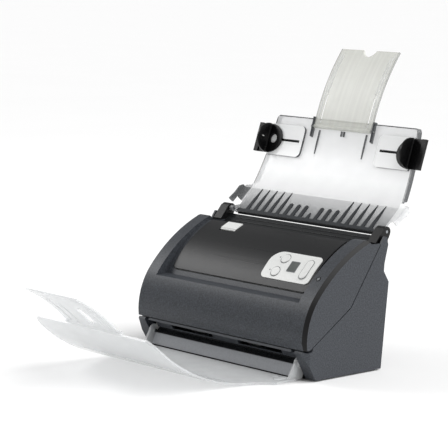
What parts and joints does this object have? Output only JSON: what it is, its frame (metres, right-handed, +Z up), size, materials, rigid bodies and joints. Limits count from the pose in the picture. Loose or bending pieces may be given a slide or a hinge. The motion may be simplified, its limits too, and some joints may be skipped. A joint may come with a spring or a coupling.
{
  "type": "document scanner",
  "caption": "Desktop sheet-fed document scanner with a hinged front cover, a folding clear input chute with paper guides and extension, and a folding clear output tray.",
  "frame": {"origin": "on the table, level with the soles of the feet, under the middle of the whole object with its trays opened out", "axes": "+X to the right seen from the front, +Y to the back, +Z up"},
  "size_m": [0.263, 0.4565, 0.33],
  "materials": {
    "charcoal_plastic": "fine spark-eroded texture",
    "panel_plastic": "fine texture, slightly darker",
    "black_plastic": "satin",
    "grey_plastic": "satin",
    "white_plastic": "satin",
    "smoky_clear": "clear, slightly smoky",
    "finger_grey": "satin",
    "clear_sheet": "clear, slightly green",
    "clear_tray": "clear",
    "steel": "ground",
    "zinc_frame": "zinc plated sheet",
    "rubber": "matt",
    "feed_rubber": "fine grip",
    "nylon": "satin",
    "scan_glass": "polished",
    "sensor_black": "matt",
    "board_green": "solder resist",
    "display_grey": "clear window over grey",
    "lens_grey": "translucent"
  },
  "bodies": {
    "base": {"base_housing": "charcoal_plastic", "bottom_plate": "black_plastic", "rubber_feet": "rubber", "housing_screws": "steel", "left_side_frame": "zinc_frame", "right_side_frame": "zinc_frame", "hinge_pins": "steel", "rear_paper_guide": "grey_plastic", "exit_ramp": "grey_plastic", "exit_guide_bar": "charcoal_plastic", "rear_scan_glass": "scan_glass", "rear_scan_unit": "sensor_black", "main_board": "board_green", "usb_socket": "steel", "power_socket": "black_plastic", "switch_frame": "black_plastic", "drive_motor": "zinc_frame", "drive_belt": "rubber"},
    "cover": {"front_cover": "charcoal_plastic", "front_paper_guide": "black_plastic", "front_scan_glass": "scan_glass", "front_scan_unit": "sensor_black", "top_panel": "panel_plastic", "control_panel": "white_plastic", "display_window": "display_grey", "panel_board": "board_green", "status_light_lens": "lens_grey", "separation_shaft": "steel"},
    "release_tab": {"cover_release_tab": "white_plastic"},
    "upper_button": {"upper_round_button": "white_plastic"},
    "lower_button": {"lower_round_button": "white_plastic"},
    "scan_key": {"scan_button": "white_plastic"},
    "separation": {"separation_roller": "feed_rubber"},
    "pinch": {"pinch_rollers": "black_plastic"},
    "motor_rotor": {"motor_shaft": "steel", "motor_pulley": "nylon"},
    "pick": {"pick_shaft": "steel", "pick_rollers": "feed_rubber", "pick_gear": "nylon"},
    "feed": {"feed_shaft": "steel", "feed_rollers": "feed_rubber", "feed_gear": "nylon", "feed_pulley": "nylon"},
    "middle": {"middle_gear": "nylon"},
    "exit_drive": {"exit_shaft": "steel", "exit_rollers": "feed_rubber", "exit_pulley": "nylon"},
    "exit_pinch": {"exit_pinch_rollers": "black_plastic"},
    "rocker": {"power_switch": "black_plastic"},
    "chute": {"input_chute": "smoky_clear", "chute_finger_bar": "finger_grey"},
    "left_guide": {"left_paper_guide": "black_plastic"},
    "right_guide": {"right_paper_guide": "black_plastic"},
    "left_fence": {"left_paper_fence": "black_plastic"},
    "right_fence": {"right_paper_fence": "black_plastic"},
    "extension": {"input_extension": "clear_sheet"},
    "tray": {"output_tray": "clear_tray"},
    "flap": {"output_flap": "clear_tray"}
  },
  "joints": [
    {"name": "cover_hinge", "type": "hinge", "parent": "base", "child": "cover", "pos_m": [0, 0.0035, 0.04], "axis": [1, 0, 0], "range_deg": [0, 68]},
    {"name": "release_tab_pivot", "type": "hinge", "parent": "cover", "child": "release_tab", "pos_m": [0, 0.07326, 0.13081], "axis": [1, 0, 0], "range_deg": [0, 25], "stiffness_Nm_per_rad": 0.01},
    {"name": "upper_button_press", "type": "slide", "parent": "cover", "child": "upper_button", "axis": [0, 0.661, -0.7504], "range_m": [0, 0.0006], "stiffness_N_per_m": 1500},
    {"name": "lower_button_press", "type": "slide", "parent": "cover", "child": "lower_button", "axis": [0, 0.7596, -0.6504], "range_m": [0, 0.0006], "stiffness_N_per_m": 1500},
    {"name": "scan_button_press", "type": "slide", "parent": "cover", "child": "scan_key", "axis": [0, 0.7135, -0.7007], "range_m": [0, 0.0006], "stiffness_N_per_m": 1500},
    {"name": "feed_turn", "type": "hinge", "parent": "base", "child": "feed", "pos_m": [0, 0.07894, 0.07546], "axis": [1, 0, 0], "continuous": true},
    {"name": "pick_turn", "type": "hinge", "parent": "base", "child": "pick", "pos_m": [0, 0.09503, 0.09598], "axis": [1, 0, 0], "continuous": true},
    {"name": "middle_gear_turn", "type": "hinge", "parent": "base", "child": "middle", "pos_m": [0, 0.09689, 0.07796], "axis": [1, 0, 0], "continuous": true},
    {"name": "motor_turn", "type": "hinge", "parent": "base", "child": "motor_rotor", "pos_m": [0, 0.0915, 0.032], "axis": [1, 0, 0], "continuous": true},
    {"name": "exit_turn", "type": "hinge", "parent": "base", "child": "exit_drive", "pos_m": [0, 0.02177, 0.02013], "axis": [1, 0, 0], "continuous": true},
    {"name": "exit_pinch_turn", "type": "hinge", "parent": "base", "child": "exit_pinch", "pos_m": [0, 0.0144, 0.02802], "axis": [1, 0, 0], "continuous": true},
    {"name": "separation_turn", "type": "hinge", "parent": "cover", "child": "separation", "pos_m": [0, 0.07897, 0.10669], "axis": [1, 0, 0], "continuous": true},
    {"name": "pinch_turn", "type": "hinge", "parent": "cover", "child": "pinch", "pos_m": [0, 0.06704, 0.0834], "axis": [1, 0, 0], "continuous": true},
    {"name": "power_switch_rock", "type": "hinge", "parent": "base", "child": "rocker", "pos_m": [0.092, 0.1107, 0.02], "axis": [1, 0, 0], "range_deg": [0, 12]},
    {"name": "chute_fold", "type": "hinge", "parent": "base", "child": "chute", "pos_m": [0, 0.1235, 0.1465], "axis": [-1, 0, 0], "range_deg": [-137, 0]},
    {"name": "left_guide_slide", "type": "slide", "parent": "chute", "child": "left_guide", "axis": [-1, 0, 0], "range_m": [-0.0305, 0]},
    {"name": "right_guide_slide", "type": "slide", "parent": "chute", "child": "right_guide", "axis": [1, 0, 0], "range_m": [-0.0305, 0]},
    {"name": "left_fence_fold", "type": "hinge", "parent": "left_guide", "child": "left_fence", "pos_m": [-0.1092, 0.17481, 0.22572], "axis": [0, -0.3221, -0.9467], "range_deg": [-90, 0]},
    {"name": "right_fence_fold", "type": "hinge", "parent": "right_guide", "child": "right_fence", "pos_m": [0.1092, 0.17481, 0.22572], "axis": [0, 0.3221, 0.9467], "range_deg": [-90, 0]},
    {"name": "extension_fold", "type": "hinge", "parent": "chute", "child": "extension", "pos_m": [0, 0.18441, 0.24325], "axis": [-1, 0, 0], "range_deg": [-175, 0]},
    {"name": "tray_fold", "type": "hinge", "parent": "base", "child": "tray", "pos_m": [0, 0.009, 0.017], "axis": [1, 0, 0], "range_deg": [-88, 0]},
    {"name": "flap_fold", "type": "hinge", "parent": "tray", "child": "flap", "pos_m": [0, -0.17271, 0.0597], "axis": [1, 0, 0], "range_deg": [-177, 0]}
  ],
  "couplings": [
    {"joint": "pick_turn", "follows": "feed_turn", "ratio": 1},
    {"joint": "middle_gear_turn", "follows": "feed_turn", "ratio": -1.25},
    {"joint": "motor_turn", "follows": "feed_turn", "ratio": 1.25},
    {"joint": "exit_turn", "follows": "feed_turn", "ratio": 1.0714},
    {"joint": "exit_pinch_turn", "follows": "feed_turn", "ratio": -1.7411},
    {"joint": "pinch_turn", "follows": "feed_turn", "ratio": -1.3333},
    {"joint": "separation_turn", "follows": "feed_turn", "ratio": -1.1111}
  ]
}
